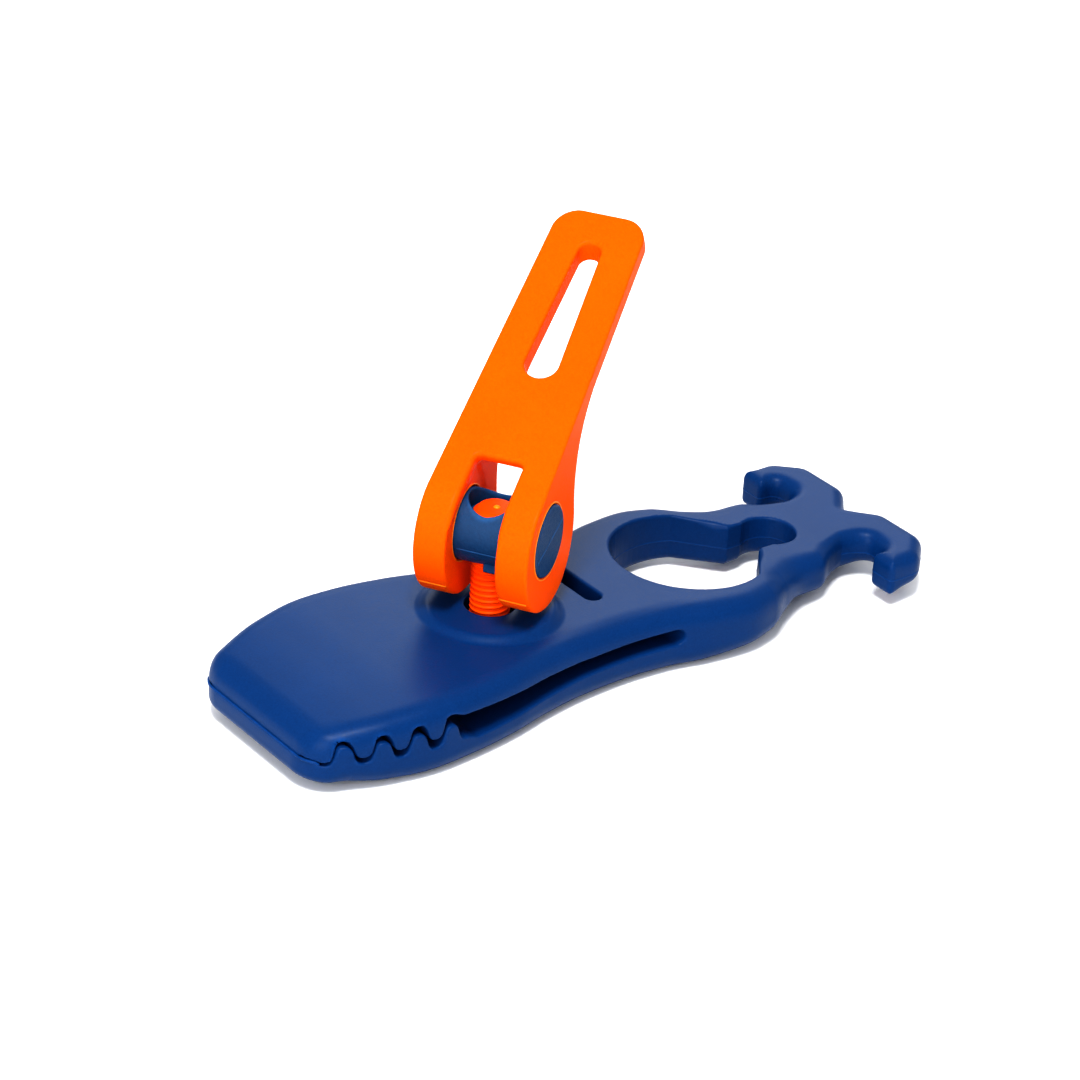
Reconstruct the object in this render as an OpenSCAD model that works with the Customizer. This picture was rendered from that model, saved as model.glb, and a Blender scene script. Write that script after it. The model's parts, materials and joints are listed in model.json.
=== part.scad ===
// Tarp clip: a sprung moulding with toothed jaws, a ring and a cord anchor,
// clamped by a cam lever that turns on a cross barrel and a threaded stud.
// X runs from the jaw's lip to the cord anchor, Z is up.
// The origin is on the flat underside, below the waist.

/* [Moulding] */
// Distance from the stud's axis to the front of the lip
lip_reach = 55.8; // [53:0.1:58]
// Distance from the stud's axis to the back of the cord anchor
tail_reach = 98.4; // [96:0.2:101]
// Distance from the stud's axis back to the origin
origin_back = 20; // [18:0.5:22]
// Width across the lip, before its corners are rounded
lip_w = 36.4; // [34:0.2:40]
// Greatest width across the jaws
jaw_w = 51.6; // [48:0.2:54]
// Distance from the stud's axis forward to the jaws' widest place
jaw_x = 28; // [26:0.5:30]
// Width at the waist behind the jaws
waist_w = 38.6; // [37:0.2:41]
// Distance from the stud's axis back to the waist
waist_x = 21; // [20:0.5:23]
// Greatest width across the ring
ring_w = 46.6; // [45:0.2:50]
// Distance from the stud's axis back to the ring's widest place
ring_x = 48; // [47:0.5:49]
// Width across the shoulder behind the ring
shoulder_w = 28.4; // [27.5:0.1:31]
// Distance from the stud's axis back to the shoulder
shoulder_x = 71; // [70:0.5:72]
// Width of the neck in front of the cord anchor
neck_w = 18.6; // [17:0.2:20]
// Height of the moulding at the lip
lip_h = 11.6; // [11:0.1:12.5]
// Greatest height of the jaws
jaw_h = 15.1; // [14.6:0.1:15.4]
// Height of the moulding at the cord anchor
tail_h = 10.4; // [10:0.1:11]
// Height of the underside at the lip
lip_rise = 3; // [2:0.1:3.4]
// Height of the underside at the cord anchor
tail_rise = 2.2; // [1.5:0.1:3]
// Corner radius of the lip in plan
lip_corner = 5; // [4:0.5:8]
// Edge rounding of the top, measured across
top_round_w = 5.2; // [4:0.1:6]
// Edge rounding of the top, measured down
top_round_h = 4.6; // [3.5:0.1:5]
// Edge rounding of the underside
low_round = 3.6; // [2.5:0.1:4]

/* [Jaws] */
// Height of the seam where the lips meet
seam_z = 6.5; // [6:0.1:7]
// Free gap between the lips
seam_gap = 0.5; // [0.4:0.05:0.8]
// Number of teeth on each jaw
teeth = 4; // [3:1:4]
// Distance between teeth
tooth_pitch = 7.2; // [6.8:0.1:7.4]
// Height of a tooth, root to tip
tooth_h = 3.8; // [3:0.1:4]
// Gap between the two rows of teeth at the back row
tooth_gap = 2.1; // [1.5:0.1:2.4]
// Middle height of the lower row of teeth
tooth_z = 8.3; // [8:0.1:8.5]
// Height of the jaw slot behind the teeth
slot_front_h = 5.8; // [5:0.1:6.2]
// Height of the jaw slot at its round end
slot_back_h = 3.4; // [3:0.1:3.8]
// Distance from the stud's axis back to the end of the jaw slot
slot_end_x = 33.6; // [31:0.1:34.5]
// Middle height of the jaw slot
slot_z = 7.9; // [7.7:0.1:8.1]
// Distance from the stud's axis back to the slit across the upper jaw
slit_x = 21.2; // [20.5:0.1:22]
// Width of the slit
slit_w = 3.7; // [3.2:0.1:4]
// Length of the slit across the jaw
slit_l = 15; // [12:0.5:18]
// Radius of the boss under the cam
boss_r = 13.5; // [12.5:0.1:14]
// Height of the boss's top above the underside
boss_z = 16; // [15.7:0.1:16.4]

/* [Eye] */
// Radius of the eye's large round
eye_r = 15.8; // [14.5:0.1:16.5]
// Distance from the stud's axis back to the middle of the large round
eye_x = 50.2; // [49.5:0.1:51]
// Radius of the eye's small round
cord_eye_r = 5.7; // [5:0.1:6.2]
// Distance from the stud's axis back to the middle of the small round
cord_eye_x = 71.8; // [71:0.1:72.5]
// Gap between the eye's two points
eye_neck_w = 9.8; // [8.5:0.1:10.5]

/* [Cord anchor] */
// Width across the two hooks
anchor_w = 46.6; // [44:0.2:48]
// Length of a hook, front to back
hook_l = 13.4; // [12.5:0.1:14]
// Width of a hook's tip
hook_w = 6; // [5.4:0.1:6.4]
// Depth of an arm, front to back
arm_l = 10; // [9:0.1:10.5]
// Depth of the notch between the arms
notch_d = 4.6; // [3.5:0.1:5]
// Width of the notch between the arms
notch_w = 13; // [11:0.5:15]
// Edge rounding of the cord anchor
anchor_round = 2.8; // [2.2:0.1:3.2]

/* [Lever] */
// Height of the lever's pivot above the underside
pivot_z = 32.7; // [32.4:0.1:33.4]
// Lever's heading, turned about the stud
lever_turn = 31.6; // [0:0.1:60]
// Lever's lean back from upright
lever_lean = 60.5; // [40:0.5:80]
// Length from the pivot to the handle's end
lever_l = 70.5; // [66:0.5:74]
// Width across the cheeks
lever_w = 23.8; // [23:0.2:25]
// Width at the handle's end
handle_w = 18.6; // [17:0.2:20]
// Thickness of the handle
handle_t = 4; // [3.6:0.1:4.6]
// Distance from the pivot to the handle's front face
front_w = 11; // [10.6:0.1:11.2]
// Radius of the cam
cam_r = 13.5; // [13.2:0.05:13.7]
// Distance of the cam's centre from the pivot, along the handle
cam_fore = 0.6; // [0.2:0.1:1]
// Radius of the hollow from the cam up to the handle's back
nape_r = 22; // [20:0.5:24]
// Width of the fork between the cheeks
fork_w = 9.8; // [9.4:0.1:11]
// Distance from the pivot to the top of the fork
fork_top = 9.2; // [8.5:0.1:9.5]
// Thickness of the web at the top of the fork
web_t = 2.6; // [2:0.1:3.2]
// Radius of the handle slot's wide end
slot_big_r = 3.4; // [3:0.05:3.8]
// Radius of the handle slot's narrow end
slot_small_r = 2.3; // [2:0.05:2.6]
// Distance from the pivot to the slot's wide end
slot_near = 29.3; // [28:0.1:31]
// Wall between the handle slot and the handle's end
slot_wall = 7.6; // [6.5:0.1:9.5]
// Rounding of the handle's end corners
handle_corner = 4.6; // [3:0.1:6]

/* [Barrel and stud] */
// Diameter of the cross barrel
barrel_d = 14.6; // [14.2:0.05:14.8]
// Running clearance of the barrel in the cheeks, on the radius
barrel_fit = 0.05; // [0.03:0.01:0.09]
// Diameter over the stud's thread
stud_d = 8.2; // [8:0.05:8.3]
// Thread pitch
thread_pitch = 1.25; // [1:0.05:1.5]
// Depth of the thread
thread_h = 0.6; // [0.45:0.05:0.7]
// Clearance round the stud in the barrel, on the radius
stud_fit = 0.2; // [0.15:0.05:0.3]
// Clearance round the stud in the boss, on the radius
boss_fit = 1.0; // [0.8:0.1:1.4]
// Distance of the stud's end above the pivot
stud_over = 4.8; // [4.4:0.1:5.6]
// Width of the stud's head along the clip
head_l = 9; // [8.6:0.1:9.4]
// Width of the stud's head across the clip
head_w = 14; // [13:0.2:15]
// Thickness of the stud's head
head_t = 2.2; // [2:0.1:2.4]
// Height of the head above the underside
head_z = 0.9; // [0.8:0.05:1]
// Clearance round the head in its recess
head_fit = 0.5; // [0.4:0.05:0.7]
// Room for the head and stud to swing as the jaw opens
swing_room = 1.7; // [1.6:0.1:2]

/* [Hidden] */
$fn = 64;
eps = 0.01;
BLUE = "#1d3f8f";
SLATE = "#2b466f";
ORANGE = "#ff6a0a";

lip_x = -lip_reach;
widest_x = -jaw_x;
neck_x = tail_reach - hook_l - 1;
nose_r = 3.4;
cut = 60;

// Eased step from a to b as t runs from 0 to 1.
function ease(a, b, t) = a + (b - a) * t * t * (3 - 2 * t);
function between(x, x0, x1) = min(1, max(0, (x - x0) / (x1 - x0)));
// Amount that a round of radius r falls away at distance d from its start.
function fall(r, d) = d <= 0 ? 0 : r - sqrt(max(0, r * r - d * d));

// Half width of the moulding in plan, before the lip's corners.
function side_y(x) =
    x < widest_x ? jaw_w / 2 - (jaw_w - lip_w) / 2 * pow((widest_x - x) / (widest_x - lip_x), 2)
    : x < waist_x ? ease(jaw_w, waist_w, between(x, widest_x, waist_x)) / 2
    : x < ring_x ? ease(waist_w, ring_w, between(x, waist_x, ring_x)) / 2
    : x < shoulder_x ? ease(ring_w, shoulder_w, between(x, ring_x, shoulder_x)) / 2
    : ease(shoulder_w, neck_w, between(x, shoulder_x + 2, neck_x)) / 2;
function half_y(x) = side_y(x) - fall(lip_corner, lip_x + lip_corner - x);

// Height of the top, with the lip's nose rounded over.
crown_x = -20;
function crown_z(x) =
    x < crown_x ? jaw_h - (jaw_h - lip_h) * pow((crown_x - x) / (crown_x - lip_x), 2)
    : x < shoulder_x + 4 ? jaw_h - (jaw_h - tail_h) * pow(between(x, crown_x, shoulder_x + 4), 1.6)
    : tail_h;
function top_z(x) = crown_z(x) - fall(nose_r, lip_x + nose_r - x);

// Height of the underside: flat below the jaws, lifting at both ends.
flat_front = -32;
flat_back = 36;
function keel_z(x) =
    x < flat_front ? lip_rise * pow((flat_front - x) / (flat_front - lip_x), 2)
    : x < flat_back ? 0
    : ease(0, tail_rise, between(x, flat_back, shoulder_x));
function low_z(x) = keel_z(x) + fall(nose_r, lip_x + nose_r - x);

// One cross-section: a box with rounded corners, as points counter-clockwise.
corner_steps = 5;
function section(x) =
    let (y = half_y(x), t = top_z(x), b = low_z(x), h = t - b)
    let (rw = min(top_round_w, y - 0.5), rh = min(top_round_h, h * 0.6), rl = min(low_round, h * 0.36))
    let (quarter = [for (i = [0:corner_steps]) 90 * i / corner_steps])
    let (upper = [for (a = quarter) [y - rw + rw * cos(a), t - rh + rh * sin(a)]])
    let (lower = [for (a = quarter) [y - rl + rl * sin(a), b + rl - rl * cos(a)]])
    let (right = concat(lower, upper), n = len(right) - 1)
    concat(right, [for (i = [n:-1:0]) [-right[i].x, right[i].y]]);

// Stations along the moulding, close together round the nose.
nose_stations = [for (i = [0:7]) lip_x + lip_corner * (1 - cos(90 * i / 7))];
run_stations = [for (x = [lip_x + lip_corner + 2.6:2.6:neck_x + 4]) x];
stations = concat(nose_stations, run_stations);

// Solid through a list of rings of points, closed at both ends.
module loft(rings) {
    count = len(rings[0]);
    last = len(rings) - 1;
    points = [for (ring = rings) each ring];
    walls = [for (i = [0:last - 1]) for (j = [0:count - 1])
        let (k = (j + 1) % count, a = i * count, b = a + count)
        each [[a + j, b + j, a + k], [a + k, b + j, b + k]]];
    front = [[for (j = [0:count - 1]) j]];
    back = [[for (j = [count - 1:-1:0]) last * count + j]];
    polyhedron(points, concat(front, walls, back), convexity = 8);
}

module moulding() {
    loft([for (x = stations) [for (p = section(x)) [x, p.x, p.y]]]);
}

// Side views are drawn in X and Z and run across the whole width.
module across(width) {
    rotate([90, 0, 0]) linear_extrude(width, center = true) children();
}

// Wave of the teeth, from the first tip behind the lip back to the slot.
tooth_x = lip_x + 3.2;
teeth_end = tooth_x + (teeth - 0.5) * tooth_pitch;
wave_steps = 12;
wave_fullness = 0.35;
function full(c) = c * sqrt((1 + wave_fullness) / (c * c + wave_fullness));
function wave(x) = -tooth_h / 2 * full(cos(360 * (x - tooth_x) / tooth_pitch));
function row_gap(x) = seam_gap + (tooth_gap - seam_gap) * between(x, lip_x, teeth_end);
function lower_row(x) = tooth_z + wave(x);
function upper_row(x) = lower_row(x) + row_gap(x);
row = [for (i = [0:wave_steps * (teeth - 0.5)]) tooth_x + tooth_pitch * i / wave_steps];

slot_front = teeth_end + 3.4;
slot_round = slot_back_h / 2;
slot_low = slot_z - slot_round;
slot_high = slot_z + slot_round;
slot_front_low = slot_z - slot_front_h / 2 + 0.3;
slot_front_high = slot_z + slot_front_h / 2 + 0.3;

// The flexing line: a knuckle through the full thickness of the upper jaw's root.
hinge_z = (slot_high + top_z(slit_x)) / 2;
hinge_r = (top_z(slit_x) - slot_high) / 2 + 0.1;
hinge_fit = 0.06;

// Edge of the lower jaw seen from the side, lip to slot end.
lower_edge = concat(
    [[lip_x - 1, seam_z - seam_gap / 2], [tooth_x - 1.6, seam_z - seam_gap / 2]],
    [for (x = row) [x, lower_row(x)]],
    [[slot_front, slot_front_low], [waist_x - 4, slot_low], [slot_end_x - slot_round, slot_low]]);
// Edge of the upper jaw seen from the side, lip to slot end.
upper_edge = concat(
    [[lip_x - 1, seam_z + seam_gap / 2], [tooth_x - 1.6, seam_z + seam_gap / 2]],
    [for (x = row) [x, upper_row(x)]],
    [[slot_front, slot_front_high], [waist_x - 4, slot_high], [slot_end_x - slot_round, slot_high]]);

// Side view of the space between the jaws.
module jaw_gap_2d() {
    polygon(concat(lower_edge, [for (i = [len(upper_edge) - 1:-1:0]) upper_edge[i]]));
    translate([slot_end_x - slot_round, slot_z]) circle(slot_round);
}

// Side view of everything that belongs to the upper jaw, in front of the flexing line.
module upper_side_2d(grow) {
    polygon(concat([[lip_x - 1, cut]], upper_edge_to_hinge(), [[slit_x, cut]]));
    translate([slit_x, hinge_z]) circle(hinge_r + grow);
}
function upper_edge_to_hinge() = concat(
    [for (p = upper_edge) if (p.x < slit_x) p],
    [[slit_x, slot_high]]);

module slit() {
    for (side = [-1, 1])
        translate([slit_x, side * (slit_l - slit_w) / 2, slot_z]) cylinder(d = slit_w, h = cut);
    translate([slit_x - slit_w / 2, -(slit_l - slit_w) / 2, slot_z]) cube([slit_w, slit_l - slit_w, cut]);
}

// The eye: a large round with two points behind it, a neck and a small round.
module eye_2d() {
    chord = 0.46;
    chord_x = eye_x + eye_r * chord;
    chord_y = eye_r * sqrt(1 - chord * chord);
    point_x = eye_x + eye_r * 0.875;
    intersection() {
        translate([eye_x, 0]) circle(eye_r);
        polygon([[eye_x - 2 * eye_r, -2 * eye_r], [chord_x, -2 * eye_r], [chord_x, -chord_y],
            [point_x, -eye_neck_w / 2], [point_x, eye_neck_w / 2], [chord_x, chord_y],
            [chord_x, 2 * eye_r], [eye_x - 2 * eye_r, 2 * eye_r]]);
    }
    translate([point_x - 1, -eye_neck_w / 2]) square([cord_eye_x - point_x + 1, eye_neck_w]);
    translate([cord_eye_x, 0]) circle(cord_eye_r);
}

// One rounded section of the cord anchor, from inner to outer edge along a direction in plan.
function bar_section(base, along, inner, outer, inset) =
    let (mid = (inner + outer) / 2, half = (outer - inner) / 2 - inset)
    let (b = tail_rise + inset * 0.7, t = tail_h - inset * 0.7, r = min(anchor_round, half * 0.9))
    let (corners = [[half, t, 1, 1], [-half, t, -1, 1], [-half, b, -1, -1], [half, b, 1, -1]])
    [for (q = [0:3]) for (i = [0:corner_steps])
        let (c = corners[q], a = 90 * (q + i / corner_steps))
        let (d = mid + c[0] - c[2] * r + r * cos(a), z = c[1] - c[3] * r + r * sin(a))
        [base.x + along.x * d, base.y + along.y * d, z]];

// The anchor's right half, from the middle of the neck round to the hook's tip.
bend = [tail_reach - 11.4, 12.9];
hook_out = anchor_w / 2 - bend.y;
arm_out = tail_reach - bend.x;
function arm_rear(y) = tail_reach - ease(notch_d, 0, between(abs(y), 0, notch_w / 2));
function arm_front(y) = tail_reach - ease(hook_l + 1.5, arm_l, between(abs(y), 0, bend.y));
tip_x = tail_reach - hook_l;
arm_half = concat(
    [for (i = [0:5]) let (y = bend.y * i / 6) bar_section([0, y], [1, 0], arm_front(y), arm_rear(y), 0)],
    [for (i = [0:8]) let (a = 90 * i / 8, t = i / 8)
        bar_section(bend, [cos(a), sin(a)], ease(arm_out - arm_l, hook_out - hook_w, t),
            ease(arm_out, hook_out, t), 0)],
    [for (i = [1:5]) let (a = 90 * i / 5, x = tip_x + (bend.x - tip_x) * (1 - sin(a)))
        bar_section([x, bend.y], [0, 1], hook_out - hook_w, hook_out, anchor_round * 0.7 * (1 - cos(a)))]);
arm_in = [for (i = [len(arm_half) - 1:-1:1]) arm_half[i]];
arm_out_again = [for (ring = arm_half) [for (p = ring) [p.x, -p.y, p.z]]];

module anchor() {
    loft(concat(arm_in, arm_out_again));
}

// Recess for the stud's head, with a slot for the stud above it.
module head_recess() {
    length = head_l + 2 * head_fit + swing_room;
    width = head_w + 2 * head_fit;
    shaft_r = stud_d / 2 + head_fit;
    translate([-head_l / 2 - head_fit - swing_room, -width / 2, -eps])
        cube([length, width, head_z + head_t + 2 * head_fit]);
    translate([-swing_room, -shaft_r, 0]) cube([swing_room, 2 * shaft_r, slot_z]);
    for (x = [0, -swing_room]) translate([x, 0, 0]) cylinder(r = shaft_r, h = slot_z);
}

module lower_body() {
    color(BLUE) translate([-origin_back, 0, 0]) {
        difference() {
            moulding();
            across(2 * cut) jaw_gap_2d();
            across(2 * cut) upper_side_2d(hinge_fit);
            slit();
            translate([0, 0, -1]) linear_extrude(cut) eye_2d();
            head_recess();
        }
        anchor();
    }
}

module upper_jaw() {
    color(BLUE) translate([-origin_back, 0, 0]) difference() {
        union() {
            intersection() {
                moulding();
                across(2 * cut) upper_side_2d(0);
            }
            boss();
        }
        slit();
        translate([0, 0, -1]) cylinder(r = stud_d / 2 + boss_fit, h = cut);
    }
}

module boss() {
    foot = slot_high + 2.6;
    edge = 0.6;
    rotate_extrude() polygon([[0, foot], [boss_r, foot], [boss_r, boss_z - edge],
        [boss_r - edge, boss_z], [0, boss_z]]);
}

// The stud is a loft of level rings: a plain shank, then a thread that climbs one pitch a turn.
thread_sides = 20;
thread_levels = 6;
shank_top = slot_z + 0.6;
stud_top = pivot_z + stud_over;
end_chamfer = 0.6;
function thread_wave(a, z) = min(1, max(0, 0.5 + 0.9 * cos(360 * z / thread_pitch - a)));
function thread_r(a, z) =
    let (start = between(z, shank_top, shank_top + thread_pitch))
    stud_d / 2 - thread_h * start * (1 - thread_wave(a, z));
function stud_ring(z, inset) =
    [for (i = [0:thread_sides - 1]) let (a = 360 * i / thread_sides, r = thread_r(a, z) - inset)
        [r * cos(a), r * sin(a), z]];
thread_step = thread_pitch / thread_levels;
thread_z = [for (z = [shank_top:thread_step:stud_top - end_chamfer]) z];

module stud() {
    color(ORANGE) translate([-origin_back, 0, 0]) {
        translate([-head_l / 2, -head_w / 2, head_z]) cube([head_l, head_w, head_t]);
        loft(concat([stud_ring(head_z + head_t / 2, 0)],
            [for (z = thread_z) stud_ring(z, 0)],
            [stud_ring(stud_top, end_chamfer)]));
    }
}

module at_pivot() {
    translate([-origin_back, 0, pivot_z]) rotate([0, 0, lever_turn]) children();
}

module barrel() {
    bore_r = stud_d / 2 + stud_fit;
    color(SLATE) at_pivot() difference() {
        rotate([90, 0, 0]) cylinder(d = barrel_d, h = lever_w, center = true);
        cylinder(r = bore_r, h = 2 * barrel_d, center = true);
        translate([0, 0, stud_over - 0.8]) cylinder(r = bore_r + 0.5, h = barrel_d);
    }
}

// The lever lies with X along the handle, Z out of its front face and the pivot at the origin.
back_w = front_w - handle_t;
nape_z = back_w - nape_r;
cam_drop = cam_r - front_w;
nape_x = cam_fore + sqrt(pow(nape_r + cam_r, 2) - pow(nape_z + cam_drop, 2));

// Points along an arc, both ends included.
arc_step = 4;
function arc(centre, r, from, to) =
    let (n = ceil(abs(to - from) / arc_step))
    [for (i = [0:n]) let (a = from + (to - from) * i / n) [centre.x + r * cos(a), centre.y + r * sin(a)]];

// Side view: the front face runs into the cam's round, then the nape and the handle's back.
module lever_side_2d() {
    meet = atan2(nape_z + cam_drop, nape_x - cam_fore);
    polygon(concat([[lever_l, front_w]],
        arc([cam_fore, -cam_drop], cam_r, 90, 360 + meet),
        arc([nape_x, nape_z], nape_r, 180 + meet, 90),
        [[lever_l, back_w]]));
}

// Front view: cheeks that taper into a handle with two rounded corners.
module lever_plan_2d() {
    c = handle_corner;
    taper = (lever_w - handle_w) / 2 / lever_l;
    corner_y = handle_w / 2 + taper * c - c;
    polygon(concat([[-2 * cam_r, lever_w / 2], [-2 * cam_r, -lever_w / 2], [0, -lever_w / 2]],
        arc([lever_l - c, -corner_y], c, -90, 0),
        arc([lever_l - c, corner_y], c, 0, 90),
        [[0, lever_w / 2]]));
}

module handle_slot_2d() {
    near = slot_near + slot_big_r;
    far = lever_l - slot_wall - slot_small_r;
    translate([near, 0]) circle(slot_big_r);
    translate([far, 0]) circle(slot_small_r);
    polygon([[near, -slot_big_r], [far, -slot_small_r], [far, slot_small_r], [near, slot_big_r]]);
}

// Side view of the hollow behind the web, between the cheeks.
module hollow_2d() {
    polygon([[fork_top - 1, -cut], [fork_top - 1, front_w - web_t], [fork_top, front_w - web_t],
        [nape_x, back_w], [nape_x, -cut]]);
}

module lever() {
    color(ORANGE) at_pivot() rotate([0, lever_lean - 90, 0]) difference() {
        intersection() {
            across(lever_w + 2) lever_side_2d();
            linear_extrude(cut, center = true) lever_plan_2d();
        }
        linear_extrude(cut, center = true) handle_slot_2d();
        translate([-cut, -fork_w / 2, -cut]) cube([cut + fork_top, fork_w, 2 * cut]);
        across(fork_w) hollow_2d();
        rotate([90, 0, 0]) cylinder(d = barrel_d + 2 * barrel_fit, h = 2 * lever_w, center = true);
    }
}

lower_body();
upper_jaw();
stud();
barrel();
lever();
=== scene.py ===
"""Looks of a tarp clip: a sprung blue moulding with toothed jaws, a ring and a cord anchor,
clamped by an orange cam lever on a slate cross barrel and a threaded stud."""

import itertools
import json
import math
from types import SimpleNamespace

import bmesh
import bpy
import numpy as np
from mathutils import Matrix, Vector


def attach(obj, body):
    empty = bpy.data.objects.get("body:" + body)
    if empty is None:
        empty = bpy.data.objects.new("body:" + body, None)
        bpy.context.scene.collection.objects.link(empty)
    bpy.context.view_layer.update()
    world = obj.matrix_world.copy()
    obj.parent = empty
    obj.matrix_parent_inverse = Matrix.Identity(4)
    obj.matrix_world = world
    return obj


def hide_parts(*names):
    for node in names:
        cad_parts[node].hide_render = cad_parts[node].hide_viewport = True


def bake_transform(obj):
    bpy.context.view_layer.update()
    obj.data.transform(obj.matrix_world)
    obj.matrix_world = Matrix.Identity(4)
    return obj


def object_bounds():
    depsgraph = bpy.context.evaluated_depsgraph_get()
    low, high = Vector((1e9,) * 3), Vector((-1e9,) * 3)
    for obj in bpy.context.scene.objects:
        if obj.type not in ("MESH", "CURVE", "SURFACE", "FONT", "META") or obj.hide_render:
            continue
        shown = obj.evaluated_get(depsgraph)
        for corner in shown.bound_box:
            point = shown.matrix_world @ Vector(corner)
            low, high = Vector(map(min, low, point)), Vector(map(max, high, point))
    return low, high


bl_info = {
    "name": "Tarp clip",
    "version": (1, 0, 0),
    "blender": (4, 5, 0),
    "location": "3D View > Sidebar > Tarp clip",
    "description": "Builds a tarp clip with a cam lever around its packed solids",
    "category": "Add Mesh",
}

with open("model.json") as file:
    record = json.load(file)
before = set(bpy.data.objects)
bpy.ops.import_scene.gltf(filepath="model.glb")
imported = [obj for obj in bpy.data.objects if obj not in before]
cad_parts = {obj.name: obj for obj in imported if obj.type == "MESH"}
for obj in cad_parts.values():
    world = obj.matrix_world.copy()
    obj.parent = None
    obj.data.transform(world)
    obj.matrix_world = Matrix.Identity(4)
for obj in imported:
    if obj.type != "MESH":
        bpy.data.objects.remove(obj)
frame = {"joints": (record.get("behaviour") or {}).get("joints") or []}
CAD_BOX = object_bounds()
MM = 0.001
JOINTS = {joint["name"]: joint for joint in frame["joints"]}
PIVOT = np.array(JOINTS["lever_turn"]["pos_m"]) / MM
STUD_X = PIVOT[0]
FLEX_X = JOINTS["jaw_flex"]["pos_m"][0] / MM - STUD_X
CAM_AXIS = np.array(JOINTS["lever_cam"]["axis"])


# Settings


def length(name, size, description):
    """A length given in millimetres."""
    return bpy.props.FloatProperty(
        name=name, description=description, default=size * MM, min=0.0, unit="LENGTH", precision=5
    )


def colour(name, value, description):
    """A colour in linear light."""
    return bpy.props.FloatVectorProperty(
        name=name, description=description, default=value, size=3, min=0.0, max=1.0, subtype="COLOR"
    )


def share(name, value, description):
    """A number from 0 to 1."""
    return bpy.props.FloatProperty(
        name=name, description=description, default=value, min=0.0, max=1.0, subtype="FACTOR"
    )


class MouldingSizes(bpy.types.PropertyGroup):
    """Sizes of the sprung moulding."""

    lip_reach: length("Lip reach", 55.7, "From the stud's axis to the front of the lip")
    tail_reach: length("Tail reach", 98.4, "From the stud's axis to the back of the cord anchor")
    lip_corner: length("Lip corner", 5, "Corner radius of the lip seen from above")
    lip_step: length("Lip step", 0.5, "How far the lower lip stands out past the upper lip")
    jaw_w: length("Jaw width", 51.6, "Greatest width across the jaws")
    waist_w: length("Waist width", 38.6, "Width at the waist behind the jaws")
    ring_w: length("Ring width", 46.6, "Greatest width across the ring")
    jaw_h: length("Jaw height", 15.2, "Greatest height of the jaws")
    tail_h: length("Tail height", 10.4, "Height of the top at the cord anchor")
    top_round: length("Top edge", 6.2, "Rounding of the top edges along the jaws and ring")
    low_round: length("Lower edge", 4.8, "Rounding of the lower edges along the jaws and ring")
    anchor_round: length("Anchor edge", 2.7, "Rounding of the cord anchor's edges")
    seam_z: length("Seam height", 7.3, "Height of the seam between the lips")
    seam_gap: length("Seam gap", 0.5, "Free gap between the lips")
    lip_gap: length("Lip gap", 0.12, "Gap between the lips at the front of the seam")
    tooth_pitch: length("Tooth pitch", 7.2, "Distance between the teeth")
    tooth_h: length("Tooth height", 3.8, "Height of a tooth from root to tip")
    tooth_z: length("Tooth level", 8.3, "Middle height of the lower row of teeth")
    tooth_gap: length("Tooth gap", 2.1, "Gap between the rows of teeth at the back")
    slot_end: length("Slot end", 33.6, "From the stud's axis to the round end of the jaw slot")
    slot_z: length("Slot level", 7.9, "Middle height of the jaw slot")
    slot_h: length("Slot height", 3.4, "Height of the jaw slot at its round end")
    slit_w: length("Slit width", 3.7, "Width of the slit across the upper jaw")
    slit_l: length("Slit length", 15, "Length of the slit across the upper jaw")
    boss_r: length("Boss radius", 13.5, "Radius of the round boss under the cam")
    boss_z: length("Boss height", 16, "Height of the boss's top above the underside")
    bore_r: length("Stud hole radius", 5.1, "Radius of the stud's hole through the boss")
    eye_r: length("Eye radius", 15.8, "Radius of the eye's large round")
    eye_x: length("Eye middle", 50.2, "From the stud's axis to the middle of the large round")
    cord_eye_r: length("Cord eye radius", 5.7, "Radius of the eye's small round")
    cord_eye_x: length("Cord eye middle", 71.8, "From the stud's axis to the middle of the small round")
    eye_neck_w: length("Eye neck", 9.8, "Gap between the eye's two points")
    anchor_w: length("Anchor width", 48.4, "Width across the two hooks")
    hook_l: length("Hook length", 13.4, "Length of a hook, front to back")
    hook_w: length("Hook width", 6.3, "Width of a hook's tip")


class LeverSizes(bpy.types.PropertyGroup):
    """Sizes of the cam lever."""

    lean: bpy.props.FloatProperty(
        name="Lean", description="Lean of the handle back from upright", default=math.radians(60.5),
        subtype="ANGLE",
    )
    lever_l: length("Length", 70.5, "From the pivot to the handle's end")
    lever_w: length("Cheek width", 23.8, "Width across the cheeks")
    handle_w: length("Handle width", 19.1, "Width at the handle's end")
    handle_t: length("Handle thickness", 4, "Thickness of the handle")
    front_w: length("Front face", 11, "From the pivot to the handle's front face")
    cam_r: length("Cam radius", 13.5, "Radius of the cam")
    cam_fore: length("Cam lead", 0.6, "From the pivot to the cam's middle, along the handle")
    nape_r: length("Nape radius", 22, "Radius of the hollow from the cam up to the handle's back")
    fork_w: length("Fork width", 9.8, "Width of the fork between the cheeks")
    fork_top: length("Fork top", 9.2, "From the pivot to the top of the fork")
    web_t: length("Web thickness", 2.6, "Thickness of the web at the top of the fork")
    side_play: length("Side play", 0.25, "How far the lever sits off the middle of the barrel")
    slot_big_r: length("Slot wide end", 3.4, "Radius of the handle slot's wide end")
    slot_small_r: length("Slot narrow end", 2.3, "Radius of the handle slot's narrow end")
    slot_near: length("Slot start", 29.3, "From the pivot to the slot's wide end")
    slot_far: length("Slot stop", 62.9, "From the pivot to the slot's narrow end")
    edge: length("Edge", 0.55, "Rounding of the lever's edges")
    corner: length("End corner", 5.3, "Corner radius of the handle's end")


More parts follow.
